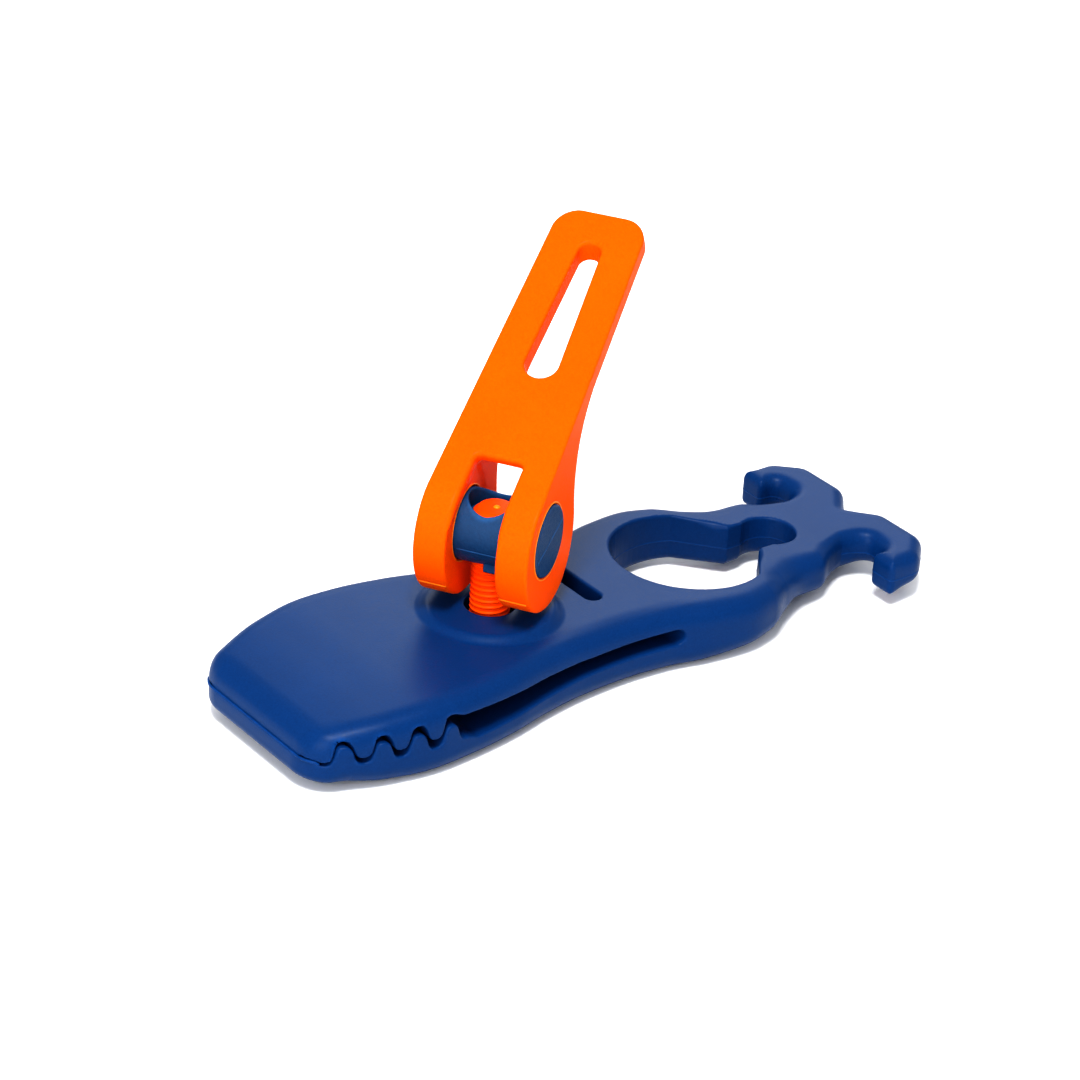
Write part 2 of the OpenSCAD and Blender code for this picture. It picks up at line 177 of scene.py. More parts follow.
class TurningSizes(bpy.types.PropertyGroup):
    """Sizes of the cross barrel and the stud."""

    barrel_d: length("Barrel diameter", 14.6, "Diameter of the cross barrel")
    barrel_bore: length("Barrel hole radius", 4.3, "Radius of the stud's hole through the barrel")
    barrel_mouth: length("Hole mouth radius", 5.0, "Radius of the recess round the stud's end")
    stud_d: length("Stud diameter", 8.2, "Diameter over the thread")
    thread_pitch: length("Thread pitch", 1.25, "Distance between the thread's ridges")
    thread_h: length("Thread depth", 0.6, "Depth of the thread")
    stud_over: length("Stud end", 4.8, "From the pivot up to the stud's end")
    head_l: length("Head length", 9, "Length of the stud's head along the clip")
    head_w: length("Head width", 14, "Width of the stud's head across the clip")
    head_t: length("Head thickness", 2.2, "Thickness of the stud's head")
    head_z: length("Head height", 0.9, "Height of the head above the underside")


class Finishes(bpy.types.PropertyGroup):
    """Colours and sheen of the plastics."""

    blue: colour("Moulding blue", (0.0016, 0.034, 0.128), "Colour of the sprung moulding")
    slate: colour("Barrel slate", (0.008, 0.045, 0.12), "Colour of the cross barrel")
    orange: colour("Lever orange", (1.0, 0.1, 0.0), "Colour of the lever")
    stud_orange: colour("Stud orange", (0.95, 0.08, 0.0), "Colour of the stud")
    flash: colour("Flash orange", (1.0, 0.24, 0.008), "Colour of the lever's thin moulding lines")
    floor: colour("Floor", (0.95, 0.95, 0.95), "Colour of the floor")
    satin: share("Satin", 0.37, "Roughness of the moulding's grained faces")
    lever_satin: share("Lever satin", 0.36, "Roughness of the lever's faces")


class ClipSettings(bpy.types.PropertyGroup):
    """All the settings of the tarp clip."""

    moulding: bpy.props.PointerProperty(type=MouldingSizes)
    lever: bpy.props.PointerProperty(type=LeverSizes)
    turning: bpy.props.PointerProperty(type=TurningSizes)
    finishes: bpy.props.PointerProperty(type=Finishes)


def in_mm(sizes):
    """The group's lengths in millimetres, and its other values as they are."""
    values = {}
    for prop in sizes.bl_rna.properties:
        if prop.identifier not in ("rna_type", "name"):
            value = getattr(sizes, prop.identifier)
            values[prop.identifier] = value / MM if prop.unit == "LENGTH" else value
    return SimpleNamespace(**values)


# Shapes are signed distances in millimetres, negative inside the plastic.


def round_max(a, b, r):
    """What two shapes share, with the edge between them rounded to radius r."""
    return np.minimum(np.maximum(a, b), -r) + np.hypot(np.maximum(a + r, 0), np.maximum(b + r, 0))


def soft_max(a, b, r, power=2.6):
    """What two shapes share, with an edge whose curve starts and ends softly over the length r."""
    corner = np.maximum(a + r, 0) ** power + np.maximum(b + r, 0) ** power
    return np.minimum(np.maximum(a, b), -r) + corner ** (1 / power)


def round_min(a, b, r):
    """Two shapes joined, with a fillet of radius r between them."""
    return -round_max(-a, -b, r)


def ease(a, b, t):
    """Eased step from a to b as t runs from 0 to 1."""
    t = np.clip(t, 0, 1)
    return a + (b - a) * t * t * (3 - 2 * t)


def flow(points, x):
    """Height and slope at x of a smooth line through the points that never overshoots them."""
    px, py = np.array(points, float).T
    chord = np.diff(py) / np.diff(px)
    both = chord[:-1] * chord[1:]
    slope = np.concatenate(([chord[0]], np.zeros(len(px) - 2), [chord[-1]]))
    same = both > 0
    slope[1:-1][same] = 2 * both[same] / (chord[:-1] + chord[1:])[same]
    i = np.clip(np.searchsorted(px, x) - 1, 0, len(px) - 2)
    h = px[i + 1] - px[i]
    t = np.clip((x - px[i]) / h, 0, 1)
    rise = py[i + 1] - py[i]
    bend_a = slope[i] * h - rise
    bend_b = rise - slope[i + 1] * h
    swing = bend_a * (1 - t) + bend_b * t
    height = py[i] + rise * t + t * (1 - t) * swing
    rate = (rise + (1 - 2 * t) * swing + t * (1 - t) * (bend_b - bend_a)) / h
    return height, rate


def rounded_outline(corners, steps=6):
    """Closed outline through corners (x, y, radius), each turned into an arc of its radius."""
    points = []
    for k, (x, y, r) in enumerate(corners):
        here = np.array((x, y), float)
        if r == 0:
            points.append(here)
            continue
        back = np.array(corners[k - 1][:2]) - here
        ahead = np.array(corners[(k + 1) % len(corners)][:2]) - here
        back = back / np.hypot(*back)
        ahead = ahead / np.hypot(*ahead)
        half = math.acos(np.clip(back @ ahead, -1, 1)) / 2
        inward = (back + ahead) / np.hypot(*(back + ahead))
        centre = here + inward * r / math.sin(half)
        start = here + back * r / math.tan(half) - centre
        stop = here + ahead * r / math.tan(half) - centre
        sweep = math.pi - 2 * half
        for i in range(steps + 1):
            t = i / steps
            spoke = math.sin((1 - t) * sweep) * start + math.sin(t * sweep) * stop
            points.append(centre + spoke / math.sin(sweep))
    return np.array(points)


def arc(cx, cy, r, start, stop, steps):
    """Points along an arc, angles in degrees, both ends included."""
    angles = np.radians(np.linspace(start, stop, steps + 1))
    return np.column_stack((cx + r * np.cos(angles), cy + r * np.sin(angles)))


def outline_distance(outline, x, y):
    """Distance to a closed outline, negative inside it."""
    x, y = np.broadcast_arrays(x, y)
    best = np.full(x.shape, np.inf)
    inside = np.zeros(x.shape, bool)
    for (ax, ay), (bx, by) in zip(outline, np.roll(outline, -1, axis=0)):
        ex, ey = bx - ax, by - ay
        span = ex * ex + ey * ey
        if span < 1e-9:
            continue
        dx, dy = x - ax, y - ay
        t = np.clip((dx * ex + dy * ey) / span, 0, 1)
        best = np.minimum(best, (dx - t * ex) ** 2 + (dy - t * ey) ** 2)
        if ey != 0:
            inside ^= ((ay > y) != (by > y)) & (dx < dy * ex / ey)
    return np.where(inside, -1.0, 1.0) * np.sqrt(best)


def surface_net(shape, low, high, step):
    """Points, faces and each point's cell where the shape's surface crosses a grid of that step."""
    axes = [np.arange(a - 2.5 * h, b + 3 * h, h) for a, b, h in zip(low, high, step)]
    value = np.broadcast_to(shape(*np.ix_(*axes)), [len(a) for a in axes])
    inside = value < 0
    corners = np.array(list(itertools.product((0, 1), repeat=3)))
    size = np.array(value.shape) - 1
    full = sum(inside[tuple(slice(c, c + n) for c, n in zip(d, size))].astype(np.int8) for d in corners)
    active = (full > 0) & (full < 8)
    cells = np.argwhere(active)
    number = np.full(active.shape, -1)
    number[active] = np.arange(len(cells))
    total = np.zeros(cells.shape)
    hits = np.zeros(len(cells))
    for axis, corner in itertools.product(range(3), corners):
        if corner[axis]:
            continue
        other = corner.copy()
        other[axis] = 1
        a = value[tuple((cells + corner).T)]
        b = value[tuple((cells + other).T)]
        crossed = (a < 0) != (b < 0)
        place = np.tile(corner.astype(float), (len(cells), 1))
        place[:, axis] = np.where(crossed, a / np.where(crossed, a - b, 1), 0)
        total += place * crossed[:, None]
        hits += crossed
    points = np.array([a[0] for a in axes]) + (cells + total / hits[:, None]) * step
    faces = []
    units = np.eye(3, dtype=int)
    for axis in range(3):
        near = [slice(1, n) for n in size]
        far = list(near)
        near[axis] = slice(0, size[axis])
        far[axis] = slice(1, size[axis] + 1)
        starts, stops = inside[tuple(near)], inside[tuple(far)]
        one, two = units[[(axis + 1) % 3, (axis + 2) % 3]]
        for going_out in (True, False):
            base = np.argwhere((starts != stops) & (starts == going_out)) + (1 - units[axis])
            ring = [base, base - one, base - one - two, base - two]
            quad = np.column_stack([number[tuple(c.T)] for c in ring])
            faces.append(quad if going_out else quad[:, ::-1])
    return points, np.concatenate(faces), cells


def settle(shape, points, reach=0.3, rounds=3):
    """Points moved onto the shape's surface, at most reach a round, and the normals there."""
    h = 0.02
    for turn in range(rounds + 1):
        x, y, z = points.T
        slope = np.column_stack([
            shape(x + h, y, z) - shape(x - h, y, z),
            shape(x, y + h, z) - shape(x, y - h, z),
            shape(x, y, z + h) - shape(x, y, z - h),
        ]) / (2 * h)
        steep = np.maximum(np.linalg.norm(slope, axis=1), 1e-3)
        normal = slope / steep[:, None]
        if turn < rounds:
            points = points - normal * np.clip(shape(x, y, z) / steep, -reach, reach)[:, None]
    return points, normal


def edge_share(shape, points, normals, depth=0.7):
    """How near each point is to a convex edge: 0 on flat faces, 1 on the tightest edges."""
    return np.clip(1 + shape(*(points - depth * normals).T) / depth, 0, 1)


def make_piece(name, points, faces, normals, edge, material, place):
    """A mesh object from points in millimetres of a piece's own frame, set in place in metres."""
    mesh = bpy.data.meshes.new(name)
    turn = np.array(place.to_3x3())
    world = (points @ turn.T + np.array(place.translation)) * MM
    mesh.from_pydata(world.tolist(), [], faces.tolist())
    mesh.shade_smooth()
    mesh.normals_split_custom_set_from_vertices((normals @ turn.T).tolist())
    mesh.attributes.new("edge", "FLOAT", "POINT").data.foreach_set("value", edge.astype(np.float32))
    mesh.materials.append(material)
    piece = bpy.data.objects.new(name, mesh)
    bpy.context.scene.collection.objects.link(piece)
    return piece


def shaped_piece(name, shape, low, high, step, material, place):
    """A closed piece grown from a shape."""
    points, faces, _ = surface_net(shape, low, high, step)
    points, normals = settle(shape, points)
    return make_piece(name, points, faces, normals, edge_share(shape, points, normals), material, place)


def flash_strip(name, shape, path, width, height, closed, material, place):
    """A thin raised moulding line that follows a path over a shape's surface."""
    points, normals = settle(shape, np.array(path, float), reach=1.5, rounds=6)
    ahead = np.roll(points, -1, axis=0) - np.roll(points, 1, axis=0)
    if not closed:
        ahead[0] = points[1] - points[0]
        ahead[-1] = points[-1] - points[-2]
    across = np.cross(normals, ahead)
    across /= np.linalg.norm(across, axis=1)[:, None]
    sides = 8
    rings = []
    spokes = []
    for i in range(sides):
        a = 2 * math.pi * i / sides
        spoke = across * (width / 2 * math.cos(a)) + normals * (height * math.sin(a))
        rings.append(points + spoke)
        spokes.append(across * math.cos(a) * height + normals * math.sin(a) * width / 2)
    verts = np.stack(rings, axis=1).reshape(-1, 3)
    out = np.stack(spokes, axis=1).reshape(-1, 3)
    out /= np.linalg.norm(out, axis=1)[:, None]
    count = len(points)
    faces = []
    for i in range(count if closed else count - 1):
        for j in range(sides):
            k = (j + 1) % sides
            a, b = i * sides, (i + 1) % count * sides
            faces.append((a + j, a + k, b + k, b + j))
    faces = np.array(faces)
    # Painted highlight: the whole strip counts as a tight edge, so its material gives it the strongest
    # lighter edge tint.
    piece = make_piece(name, verts, faces, out, np.ones(len(verts)), material, place)
    if not closed:
        close_ends(piece)
    return piece


def close_ends(piece):
    """Fills the open ends of a strip."""
    work = bmesh.new()
    work.from_mesh(piece.data)
    bmesh.ops.holes_fill(work, edges=[e for e in work.edges if e.is_boundary], sides=0)
    bmesh.ops.recalc_face_normals(work, faces=work.faces)
    work.to_mesh(piece.data)
    work.free()


# Finishes


def noise(tree, scale, detail, rough=0.5):
    """A noise in the object's own space; scale counts its grains to the metre."""
    coords = tree.nodes.new("ShaderNodeTexCoord")
    node = tree.nodes.new("ShaderNodeTexNoise")
    node.inputs["Scale"].default_value = scale
    node.inputs["Detail"].default_value = detail
    node.inputs["Roughness"].default_value = rough
    tree.links.new(coords.outputs["Object"], node.inputs["Vector"])
    return node.outputs["Fac"]


def span(tree, value, low, high, start=0.3, stop=0.7):
    """A value's range from start to stop stretched over low to high."""
    node = tree.nodes.new("ShaderNodeMapRange")
    node.inputs["From Min"].default_value = start
    node.inputs["From Max"].default_value = stop
    node.inputs["To Min"].default_value = low
    node.inputs["To Max"].default_value = high
    tree.links.new(value, node.inputs["Value"])
    return node.outputs["Result"]


def multiply(tree, a, b):
    """Two values multiplied."""
    node = tree.nodes.new("ShaderNodeMath")
    node.operation = "MULTIPLY"
    tree.links.new(a, node.inputs[0])
    tree.links.new(b, node.inputs[1])
    return node.outputs["Value"]


def tint(tree, factor, a, b):
    """Colour that runs from a to b; each is a colour or another node's output."""
    node = tree.nodes.new("ShaderNodeMix")
    node.data_type = "RGBA"
    tree.links.new(factor, node.inputs["Factor"])
    for socket, value in ((node.inputs[6], a), (node.inputs[7], b)):
        if isinstance(value, bpy.types.NodeSocket):
            tree.links.new(value, socket)
        else:
            socket.default_value = (*value, 1)
    return node.outputs[2]


def shade(value, factor):
    """A colour made lighter or darker."""
    return [min(1.0, c * factor) for c in value]


def plastic(name, base, satin, grain, grain_depth, edge_highlight_colour, specular):
    """Moulded plastic: cloudy colour, fine grain in grains to the metre, and convex edges painted lighter
    as a highlight.
    """
    material = bpy.data.materials.new(name)
    material.use_nodes = True
    tree = material.node_tree
    shader = tree.nodes["Principled BSDF"]
    cloud = span(tree, noise(tree, 90, 3), 0, 1)
    fine = noise(tree, grain, 4, 0.65)
    body = tint(tree, cloud, shade(base, 0.93), shade(base, 1.07))
    speck = tint(tree, span(tree, fine, 0, 1, 0.35, 0.7), shade(base, 0.8), shade(base, 1.18))
    mixed = tint(tree, span(tree, noise(tree, grain / 5, 2), 0.35, 0.75), body, speck)
    # Painted highlight: the edge share tints convex edges toward the lighter highlight colour, broken up
    # by noise.
    edge = tree.nodes.new("ShaderNodeAttribute")
    edge.attribute_name = "edge"
    edge_highlight_share = span(tree, edge.outputs["Fac"], 0, 0.5, 0.25, 0.9)
    painted_edge_highlight = multiply(tree, edge_highlight_share, span(tree, noise(tree, 700, 3), 0.4, 1))
    tree.links.new(tint(tree, painted_edge_highlight, mixed, edge_highlight_colour), shader.inputs["Base Color"])
    rough = span(tree, fine, satin - 0.07, satin + 0.08)
    tree.links.new(rough, shader.inputs["Roughness"])
    bump = tree.nodes.new("ShaderNodeBump")
    bump.inputs["Strength"].default_value = 0.5
    bump.inputs["Distance"].default_value = grain_depth * MM
    tree.links.new(fine, bump.inputs["Height"])
    tree.links.new(bump.outputs["Normal"], shader.inputs["Normal"])
    shader.inputs["Specular IOR Level"].default_value = specular
    return material


# The moulding lies with X back from the stud's axis and Z up from the underside.


def side_line(s):
    """Half width of the moulding along its length."""
    jaw, waist, ring = s.jaw_w / 2, s.waist_w / 2, s.ring_w / 2
    return [
        (-57, 0.69 * jaw), (-50, 0.815 * jaw), (-40, 0.942 * jaw), (-29, jaw), (-20, 0.977 * jaw),
        (-10, 0.919 * jaw), (0, 1.105 * waist), (10, 1.025 * waist), (20, waist), (30, 1.035 * waist),
        (40, 0.955 * ring), (49, ring), (56, 0.94 * ring), (62, 0.79 * ring), (69, 0.66 * ring),
        (75, 0.62 * ring), (79, 0.51 * ring), (84, 0.4 * ring),
    ]


def crown_line(s):
    """Height of the top along the moulding."""
    drop = s.jaw_h - s.tail_h
    shares = [
        (-57, 0.81), (-50, 0.5), (-40, 0.21), (-30, 0.04), (-21, 0), (-10, 0.05), (0, 0.12), (20, 0.25),
        (40, 0.42), (60, 0.67), (70, 0.83), (80, 0.93), (97, 0.92),
    ]
    return [(x, s.jaw_h - drop * t) for x, t in shares]


KEEL_LINE = [
    (-57, 2.7), (-50, 1.6), (-41, 0.4), (-32, 0), (34, 0), (50, 1.0), (60, 1.5), (70, 2.0), (80, 2.2),
    (85, 2.5), (91, 3.5), (98, 4.1),
]


def anchor_outline(s):
    """Right half of the cord anchor seen from above."""
    tail, out = s.tail_reach, s.anchor_w / 2
    tip, hook = tail - s.hook_l, out - s.hook_w
    return rounded_outline([
        (tail - 21, -5, 0), (tail - 21, 9.0, 0), (tail - 13.2, 9.3, 4.0), (tail - 9.0, 12.4, 2.6),
        (tail - 9.4, hook - 0.1, 2.4), (tip, hook, 1.0), (tip, out, 1.2), (tail - 5.8, out, 4.5),
        (tail, out - 5.6, 4.5), (tail, 6.3, 4.5), (tail - 5.2, 0.4, 0), (tail - 5.2, -5, 0),
    ])


def eye_outline(s):
    """The eye seen from above: a large round, two points, a neck and a small round."""
    round_end, point_out, nose_cut = 0.46, 0.93, 0.35
    chord = math.degrees(math.acos(round_end))
    neck = s.eye_neck_w / 2
    turn = math.degrees(math.asin(neck / s.cord_eye_r))
    point_x = s.eye_x + point_out * s.eye_r
    nose = np.array([(point_x, neck + nose_cut), (point_x + nose_cut, neck)])
    half = np.concatenate((
        arc(s.eye_x, 0, s.eye_r, 180, chord, 22), nose,
        arc(s.cord_eye_x, 0, s.cord_eye_r, 180 - turn, 0, 14),
    ))
    return np.concatenate((half, half[-2:0:-1] * (1, -1)))


def tooth_lines(s, x):
    """Heights of the lower and the upper jaw's biting edges at x, with their slopes."""
    lip_l, lip_ease, fullness = 3.2, 1.4, 0.35
    first = lip_l - s.lip_reach
    last = first + 3.5 * s.tooth_pitch
    end = last + 0.5 * s.tooth_pitch
    half = s.slot_h / 2
    floor_dip, roof_rise, taper_l = 0.9, 1.9, 40
    floor_ease, roof_ease = 3.3, 3.4

    def lines(x):
        swing = np.cos(2 * math.pi * (np.clip(x, first, end) - first) / s.tooth_pitch)
        row = s.tooth_z - s.tooth_h / 2 * swing * np.sqrt((1 + fullness) / (swing ** 2 + fullness))
        along = np.clip((x + s.lip_reach) / (last + s.lip_reach), 0, 1)
        gap = s.seam_gap + (s.tooth_gap - s.seam_gap) * along
        at_lip = np.clip((x - first + lip_ease) / lip_ease, 0, 1)
        low = np.where(x < first, ease(s.seam_z - s.lip_gap / 2, row, at_lip), row)
        high = np.where(x < first, ease(s.seam_z + s.lip_gap / 2, row + gap, at_lip), row + gap)
        behind = np.clip((x - last) / taper_l, 0, 1)
        floor_z = s.slot_z - half - floor_dip * (1 - behind)
        roof_z = s.slot_z + half + roof_rise * (1 - behind)
        crest = s.tooth_z + s.tooth_h / 2 + s.tooth_gap
        low = np.where(x > end, ease(row, floor_z, (x - end) / floor_ease), low)
        high = np.where(x > last, ease(crest, roof_z, (x - last) / roof_ease), high)
        return low, high

    step = 0.05
    low, high = lines(x)
    before, after = lines(x - step), lines(x + step)
    return low, high, (after[0] - before[0]) / (2 * step), (after[1] - before[1]) / (2 * step)


def edge_rounds(s, x, y):
    """Rounding of the top and lower edges: fuller in the hooks' pockets, tighter at tips and lip."""
    ring_end, fade_l = 64, 16
    pocket_x, pocket_y, pocket_area = 11, 13, 14
    tip_l, tip_y, tip_w = 4, 15, 3
    lip_low, lip_l = 1.9, 12
    back = np.clip((x - ring_end) / fade_l, 0, 1)
    pocket = np.exp(-((x - s.tail_reach + pocket_x) ** 2 + (np.abs(y) - pocket_y) ** 2) / pocket_area)
    tip = ease(1, 0, (x - s.tail_reach + s.hook_l) / tip_l) * ease(0, 1, (np.abs(y) - tip_y) / tip_w)
    top_r = ease(s.top_round, 1.25 * s.anchor_round, back) + 1.2 * pocket - 0.8 * tip
    low_r = ease(s.low_round, s.anchor_round - 0.4, back) + 1.4 * pocket - 0.7 * tip
    return top_r, np.minimum(low_r, ease(lip_low, s.low_round, (x + s.lip_reach) / lip_l))


def moulding_shape(s, jaw):
    """The sprung moulding with the space between its jaws; along the teeth only one jaw is kept."""
    sides, crown = side_line(s), crown_line(s)
    anchor, eye = anchor_outline(s), eye_outline(s)
    half = s.slot_h / 2
    slot_x = s.slot_end - half
    slit_y = (s.slit_l - s.slit_w) / 2
    teeth_end = 36.7 - s.lip_reach
    neck_end, neck_corner, notch_soft, anchor_fillet = 10, 2.0, 1.2, 1.5
    stud_r, stud_fit, swing_room = 4.1, 0.5, 1.7
    recess_l, recess_w, recess_z = 5.0, 7.5, 4.1
    lip_edge, boss_edge, boss_fillet = 0.8, 1.3, 1.8
    slit_edge, bore_edge, stud_edge = 0.45, 0.5, 0.4
    tooth_edge_lip, tooth_edge, tooth_fade = 0.12, 0.42, 4
    eye_draft, parting_z = 0.03, 6.5
    eye_low_r, eye_top_r, rim_z, rim_h = 2.1, 0.5, 4, 4
    point_out, point_y, point_area, point_r = 0.8, 7, 9, 1.1

    def plan(x, y):
        width, slant = flow(sides, x)
        body = (np.abs(y) - width) / np.sqrt(1 + slant ** 2)
        body = round_max(body, -s.lip_reach - x, s.lip_corner)
        body = round_max(body, x - s.tail_reach + neck_end, neck_corner)
        tail = outline_distance(anchor, x, np.sqrt(y * y + notch_soft))
        return round_min(body, tail, anchor_fillet)

    def jaw_gap(x, z):
        low, high, low_slope, high_slope = tooth_lines(s, x)
        floor = (low - z) / np.sqrt(1 + low_slope ** 2)
        roof = (z - high) / np.sqrt(1 + high_slope ** 2)
        row = np.where(x < teeth_end, floor if jaw == "lower" else roof, np.maximum(floor, roof))
        return np.where(x < slot_x, row, np.hypot(x - slot_x, z - s.slot_z) - half)

    def shape(x, y, z):
        top_r, low_r = edge_rounds(s, x, y)
        solid = soft_max(plan(x, y), z - flow(crown, x)[0], top_r)
        solid = round_max(solid, flow(KEEL_LINE, x)[0] - z, low_r)
        upper_lip = round_max(solid, s.lip_step - s.lip_reach - x, lip_edge)
        solid = np.where(z > s.seam_z, upper_lip, solid)
        axis = np.hypot(x, y)
        boss = np.maximum(round_max(axis - s.boss_r, z - s.boss_z, boss_edge), s.slot_z - z)
        solid = round_min(solid, boss, boss_fillet)
        edge_r = ease(tooth_edge_lip, tooth_edge, (x + s.lip_reach) / tooth_fade)
        solid = round_max(solid, -jaw_gap(x, z), edge_r)
        upper = s.slot_z - z
        slit = np.hypot(x - FLEX_X, np.maximum(np.abs(y) - slit_y, 0)) - s.slit_w / 2
        solid = round_max(solid, -np.maximum(slit, upper), slit_edge)
        solid = round_max(solid, -np.maximum(axis - s.bore_r, upper), bore_edge)
        shaft = np.hypot(x - np.clip(x, -swing_room, 0), y) - stud_r - stud_fit
        solid = round_max(solid, -np.maximum(shaft, -upper), stud_edge)
        head = np.maximum(np.abs(x + swing_room / 2) - recess_l - swing_room / 2, np.abs(y) - recess_w)
        solid = round_max(solid, -np.maximum(head, z - recess_z), stud_edge)
        hole = outline_distance(eye, x, y) - eye_draft * np.abs(z - parting_z)
        off_x, off_y = x - s.eye_x - point_out * s.eye_r, np.abs(y) - point_y
        point = np.exp(-(off_x ** 2 + off_y ** 2) / point_area)
        rim = ease(eye_low_r, eye_top_r + point_r * point, (z - rim_z) / rim_h)
        return round_max(solid, -hole, rim)

    return shape


class TARPCLIP_OT_moulding(bpy.types.Operator):
    """Builds the moulding: the lower jaw with its ring and anchor, and the sprung upper jaw as a piece of
    its own
    """

    bl_idname = "tarpclip.moulding"
    bl_label = "Moulding"

    def execute(self, context):
        settings = context.scene.tarp_clip
        s = in_mm(settings.moulding)
        finish = blue_plastic(settings.finishes)
        place = Matrix.Translation((STUD_X, 0, 0))
        root_back, root_spare, bend_early = 5.8, 3, 0.8
        root = FLEX_X + root_back
        body = self.add_jaw("moulding_body", s, "lower", s.tail_reach, root, finish, place)
        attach(body, "lower_body")
        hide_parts("lower_body")
        upper_jaw = self.add_jaw("moulding_upper_jaw", s, "upper", root + root_spare, root, finish, place)
        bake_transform(upper_jaw)
        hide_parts("upper_jaw")
        self.add_lines(s, moulding_shape(s, "lower"), finish, place)
        return {"FINISHED"}

    def add_jaw(self, name, s, jaw, reach, root, finish, place):
        """One jaw's piece: the upper runs from the lip to the root, the lower takes all the rest."""
        shape = moulding_shape(s, jaw)
        out = max(s.jaw_w, s.anchor_w) / 2
        low, high = (-s.lip_reach, -out, 0), (reach, out, s.boss_z)
        step = (0.5, 0.5, 0.3)
        points, faces, cells = surface_net(shape, low, high, step)
        points, normals = settle(shape, points)
        edge = edge_share(shape, points, normals)
        front = cells[:, 0] <= np.min(cells[points[:, 0] > root, 0])
        floor, roof, _, _ = tooth_lines(s, points[:, 0])
        middle = np.where(points[:, 0] < s.slot_end - s.slot_h, (floor + roof) / 2, s.slot_z)
        above = np.all((front & (points[:, 2] > middle))[faces], axis=1)
        chosen = faces[above if jaw == "upper" else ~above]
        used, packed = np.unique(chosen, return_inverse=True)
        piece = make_piece(
            name, points[used], packed.reshape(-1, 4), normals[used], edge[used], finish, place
        )
        return piece

    def add_lines(self, s, shape, finish, place):
        """Raised lines where the mould's halves met: round the eye, the anchor and the lower lip."""
        level, notch_in = 6.3, 4.6
        loop = [(x, y, level) for x, y in eye_outline(s)]
        half = [(x, y, level) for x, y in anchor_outline(s)[2:-2] if y > 1]
        notch = (s.tail_reach - notch_in, 0.0, level)
        half += [tuple(p) for p in np.linspace(half[-1], notch, 10)[1:]]
        tail = half + [(x, -y, z) for x, y, z in reversed(half[:-1])]
        lines = (
            ("line_eye", loop, 0.3, 0.07, True),
            ("line_anchor", tail, 0.3, 0.07, False),
            ("line_lip", self.lip_path(s), 0.6, 0.3, False),
        )
        for name, path, width, height, closed in lines:
            strip = flash_strip(name, shape, path, width, height, closed, finish, place)
            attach(strip, "lower_body")

    def lip_path(self, s):
        """Points along the lower lip's top edge, from one side round the corners to the other."""
        seam = s.seam_z - s.lip_gap / 2
        ledge = s.lip_step - 0.05
        turn_x = s.lip_corner - s.lip_reach
        turn_y = flow(side_line(s), turn_x)[0] - s.lip_corner
        bend_r = s.lip_corner - ledge
        bend = np.radians(np.linspace(-55, 0, 10))
        side = [(turn_x - bend_r * math.cos(a), bend_r * math.sin(a) - turn_y) for a in bend]
        front = [(ledge - s.lip_reach, y) for y in np.linspace(-turn_y, turn_y, 30)[1:-1]]
        return [(x, y, seam) for x, y in side + front + [(x, -y) for x, y in reversed(side)]]


# The lever lies with X along the handle, Y across the cheeks and Z out of its front face.


def lever_place(lean, side_play):
    """Where the lever's own frame stands at rest."""
    across = -CAM_AXIS / np.linalg.norm(CAM_AXIS)
    heading = np.cross(across, (0, 0, 1))
    along = heading * math.sin(lean) + np.array((0, 0, 1)) * math.cos(lean)
    out = np.cross(along, across)
    turn = Matrix(np.column_stack((along, across, out)).tolist())
    return Matrix.Translation(Vector(PIVOT + across * side_play)) @ turn.to_4x4()


def lever_side(s):
    """Side view: the front face runs into the cam's round, then the nape and the handle's back."""
    back = s.front_w - s.handle_t
    cam_z = s.front_w - s.cam_r
    nape_z = back - s.nape_r
    span_x = math.sqrt((s.nape_r + s.cam_r) ** 2 - (nape_z - cam_z) ** 2)
    meet = math.degrees(math.atan2(nape_z - cam_z, span_x))
    return np.concatenate((
        [(s.lever_l, s.front_w)],
        arc(s.cam_fore, cam_z, s.cam_r, 90, 360 + meet, 60),
        arc(s.cam_fore + span_x, nape_z, s.nape_r, 180 + meet, 90, 14),
        [(s.lever_l, back)],
    ))


def lever_shape(s, barrel_r):
    """The lever with its fork, handle slot and barrel hole."""
    side = lever_side(s)
    taper = (s.lever_w - s.handle_w) / 2 / s.lever_l
    slot_a, slot_b = s.slot_near + s.slot_big_r, s.slot_far - s.slot_small_r
    roof_slope = (s.handle_t - s.web_t) / (s.nape_r - s.fork_top)
    fork_corner, fork_edge, slot_edge, hole_edge = 1.2, 1.0, 0.6, 0.3
    end_draft, slot_draft = 0.4, 0.06

    def shape(x, y, z):
        width = s.lever_w / 2 - taper * np.clip(x, 0, s.lever_l)
        plan = round_max(np.abs(y) - width, x - s.lever_l, s.corner)
        solid = round_max(outline_distance(side, x, z), plan, s.edge)
        between = np.abs(y) - s.fork_w / 2
        fork = round_max(between, x - s.fork_top, fork_corner)
        roof = s.front_w - s.web_t - roof_slope * np.maximum(x - s.fork_top, 0)
        hollow = round_max(between, (z - roof) / math.hypot(1, roof_slope), fork_corner)
        solid = round_max(solid, -hollow, s.edge)
        solid = round_max(solid, -fork, fork_edge)
        slot_l = slot_b - slot_a - end_draft * np.clip(s.front_w - z, 0, s.handle_t)
        t = np.clip((x - slot_a) / slot_l, 0, 1)
        slot = np.hypot(x - slot_a - t * slot_l, y) - s.slot_big_r - t * (s.slot_small_r - s.slot_big_r)
        draft = slot_draft * (z - s.front_w + s.handle_t / 2)
        solid = round_max(solid, -slot + draft, slot_edge)
        return round_max(solid, -(np.hypot(x, z) - barrel_r), hole_edge)

    return shape


